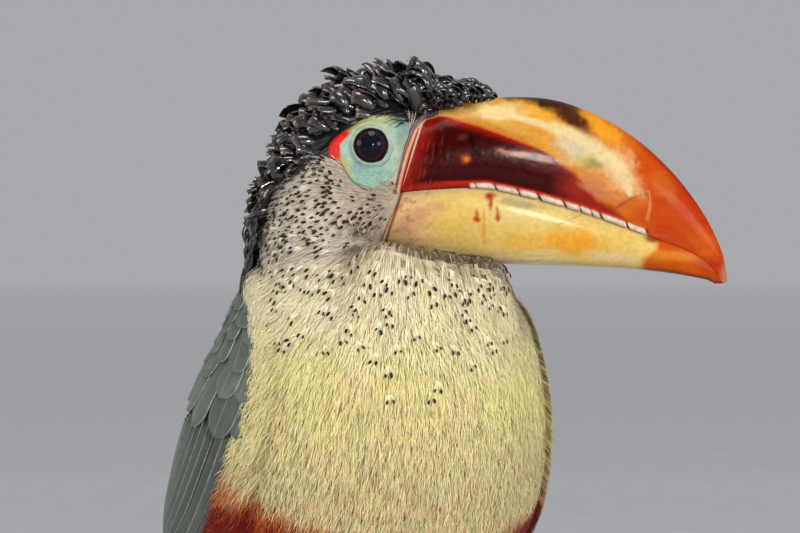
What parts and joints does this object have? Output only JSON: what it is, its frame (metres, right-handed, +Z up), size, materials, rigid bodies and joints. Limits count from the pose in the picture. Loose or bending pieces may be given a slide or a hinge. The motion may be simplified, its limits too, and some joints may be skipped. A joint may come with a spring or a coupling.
{
  "type": "curl-crested aracari",
  "caption": "Small toucan standing with its head turned left: long curved bill, curled black crest, yellow breast, folded green wings, long tail.",
  "frame": {"origin": "on the floor, at the middle of the model's box seen from above", "axes": "+Z up; the body faces -Y with its tail towards +Y; the bird's left side is +X; the head is turned 68 degrees to the bird's left"},
  "size_m": [0.1348, 0.3086, 0.1994],
  "materials": {
    "face_white": "soft feathers with black tips",
    "breast_yellow": "soft hair-like feathers, red across the belly",
    "rump_red": "soft feathers",
    "crest_black": "glossy horny curls",
    "bill_maroon": "smooth horn, satin",
    "bill_yellow": "smooth horn, satin",
    "eye_dark": "wet and glossy",
    "orbit_blue": "bare wrinkled skin",
    "wing_green": "smooth feather vanes, slight sheen",
    "thigh_green": "soft short feathers",
    "tail_green": "smooth feather vanes, slight sheen",
    "leg_grey": "scaly skin",
    "claw_dark": "horn, satin"
  },
  "bodies": {
    "root": {"head": "face_white", "neck": "face_white", "trunk": "breast_yellow", "rump": "rump_red", "crest": "crest_black", "bill_upper": "bill_maroon", "bill_lower": "bill_yellow", "claw_left_inner_back": "claw_dark", "claw_left_inner_front": "claw_dark", "claw_left_outer_back": "claw_dark", "claw_left_outer_front": "claw_dark", "claw_right_inner_back": "claw_dark", "claw_right_inner_front": "claw_dark", "claw_right_outer_back": "claw_dark", "claw_right_outer_front": "claw_dark", "eye_left": "eye_dark", "eye_right": "eye_dark", "orbit_left": "orbit_blue", "orbit_right": "orbit_blue", "tail_left_1": "tail_green", "tail_left_2": "tail_green", "tail_left_3": "tail_green", "tail_left_4": "tail_green", "tail_left_5": "tail_green", "tail_right_1": "tail_green", "tail_right_2": "tail_green", "tail_right_3": "tail_green", "tail_right_4": "tail_green", "tail_right_5": "tail_green", "tarsus_left": "leg_grey", "tarsus_right": "leg_grey", "thigh_left": "thigh_green", "thigh_right": "thigh_green", "toe_left_inner_back": "leg_grey", "toe_left_inner_front": "leg_grey", "toe_left_outer_back": "leg_grey", "toe_left_outer_front": "leg_grey", "toe_right_inner_back": "leg_grey", "toe_right_inner_front": "leg_grey", "toe_right_outer_back": "leg_grey", "toe_right_outer_front": "leg_grey", "wing_left_coverts": "wing_green", "wing_left_primaries": "wing_green", "wing_left_secondaries": "wing_green", "wing_right_coverts": "wing_green", "wing_right_primaries": "wing_green", "wing_right_secondaries": "wing_green"}
  },
  "joints": []
}
